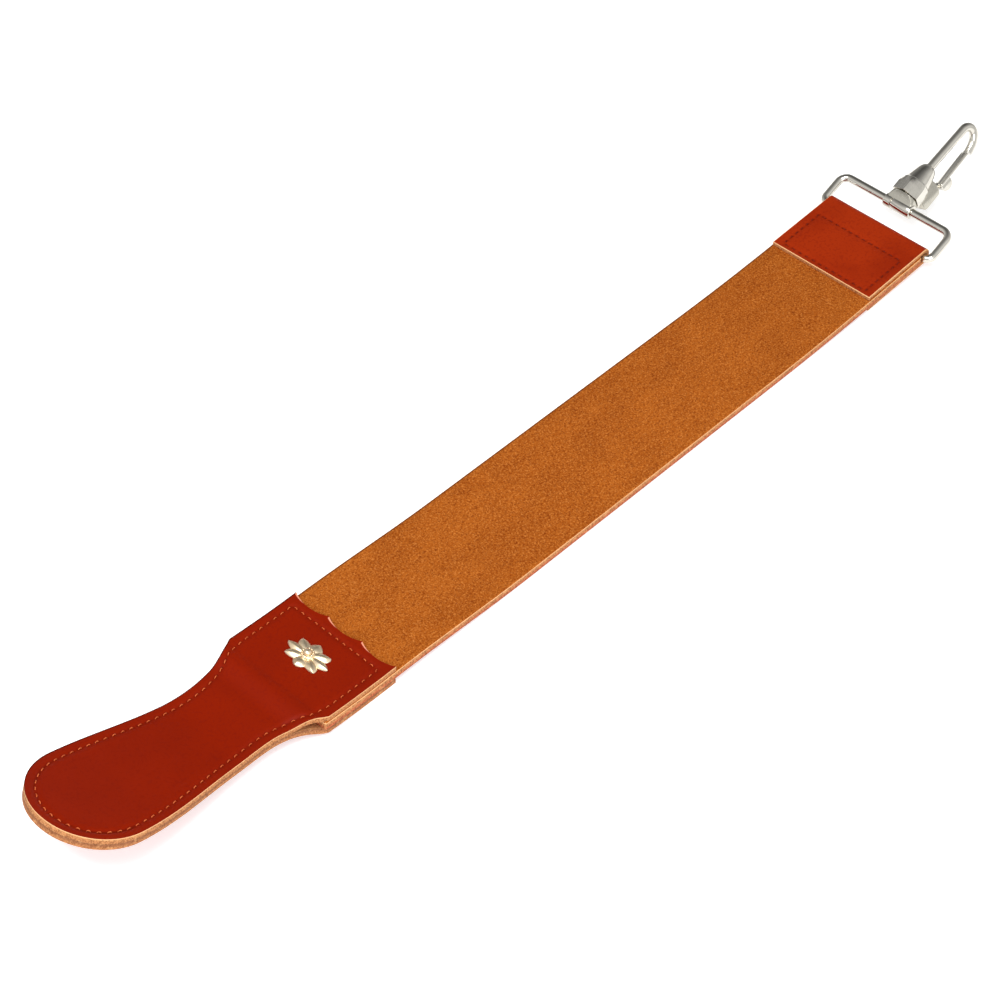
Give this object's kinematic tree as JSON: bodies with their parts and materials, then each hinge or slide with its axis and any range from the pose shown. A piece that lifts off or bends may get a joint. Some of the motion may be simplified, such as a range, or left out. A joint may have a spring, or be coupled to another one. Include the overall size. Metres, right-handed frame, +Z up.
{
  "type": "barber's hanging razor strop",
  "caption": "Barber's hanging razor strop: suede-faced leather strap with a sewn paddle handle, loop tab, rectangular ring and swivel snap hook.",
  "frame": {"origin": "middle of the bounding box at the level of the strap's underside, where it rests on a table", "axes": "+X from the handle's tip to the hook, +Z up through the suede face, +Y to the strap's left edge"},
  "size_m": [0.494, 0.0582, 0.0311],
  "materials": {
    "strap_leather": "brushed tan suede on the upper side, smooth red-brown grain below",
    "facing_leather": "smooth glossy red-brown grain with pale cut edges",
    "tan_thread": "waxed tan thread",
    "red_thread": "waxed dark red thread",
    "ornament_metal": "polished pale gold plate",
    "nickel_plate": "bright nickel plate",
    "plain_steel": "plain drawn steel"
  },
  "bodies": {
    "strop": {"strap": "strap_leather", "handle_top_facing": "facing_leather", "handle_bottom_facing": "facing_leather", "handle_needle_thread": "tan_thread", "handle_bobbin_thread": "tan_thread", "loop_tab": "facing_leather", "tab_needle_thread": "red_thread", "tab_bobbin_thread": "red_thread", "ornament": "ornament_metal", "ornament_backplate": "plain_steel"},
    "ring": {"ring": "nickel_plate"},
    "swivel": {"swivel_eye": "nickel_plate", "swivel_stud": "plain_steel"},
    "hook": {"hook_body": "nickel_plate", "gate_pin": "plain_steel", "gate_spring": "plain_steel"},
    "gate": {"gate": "nickel_plate"}
  },
  "joints": [
    {"name": "ring_swing", "type": "hinge", "parent": "strop", "child": "ring", "pos_m": [0.18807, 0, 0.00589], "axis": [0, -1, 0], "range_deg": [-95, 65]},
    {"name": "eye_swing", "type": "hinge", "parent": "ring", "child": "swivel", "pos_m": [0.20145, 0, 0.01149], "axis": [0, -1, 0], "range_deg": [-80, 80]},
    {"name": "hook_swivel", "type": "hinge", "parent": "swivel", "child": "hook", "pos_m": [0.20145, -0.0011, 0.01149], "axis": [0.9063, 0, 0.4226], "continuous": true},
    {"name": "gate_open", "type": "hinge", "parent": "hook", "child": "gate", "pos_m": [0.21735, -0.00525, 0.01097], "axis": [-0.2113, -0.866, 0.4532], "range_deg": [0, 12.5], "stiffness_Nm_per_rad": 0.02, "springref_deg": -20.05}
  ]
}
